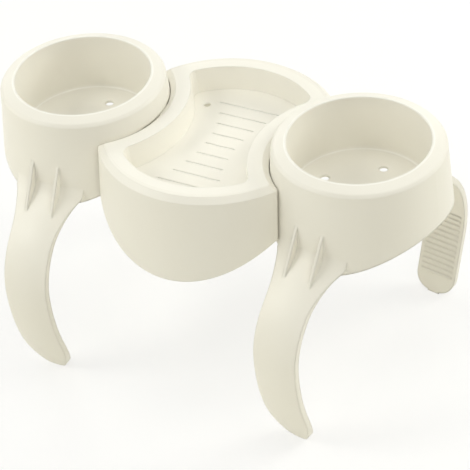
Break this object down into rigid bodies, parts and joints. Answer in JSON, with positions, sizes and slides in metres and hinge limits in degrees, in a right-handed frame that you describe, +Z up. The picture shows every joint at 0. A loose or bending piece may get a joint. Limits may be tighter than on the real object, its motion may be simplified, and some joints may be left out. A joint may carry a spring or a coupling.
{
  "type": "hot tub drinks tray",
  "caption": "Snack tray hooked between two deep cup holders, each on a claw leg in front and a ribbed leg behind, to stand astride the wall of an inflatable hot tub.",
  "frame": {"origin": "middle of the bounding box's base, on the surface that the leg tips stand on, midway between the two cups", "axes": "+X from the left cup to the right one, +Y from the claw legs to the ribbed legs, +Z up"},
  "size_m": [0.3774, 0.2561, 0.2277],
  "materials": {
    "ivory_plastic": "satin moulded"
  },
  "bodies": {
    "root": {"left_cup_holder": "ivory_plastic", "snack_tray": "ivory_plastic", "right_cup_holder": "ivory_plastic"}
  },
  "joints": []
}
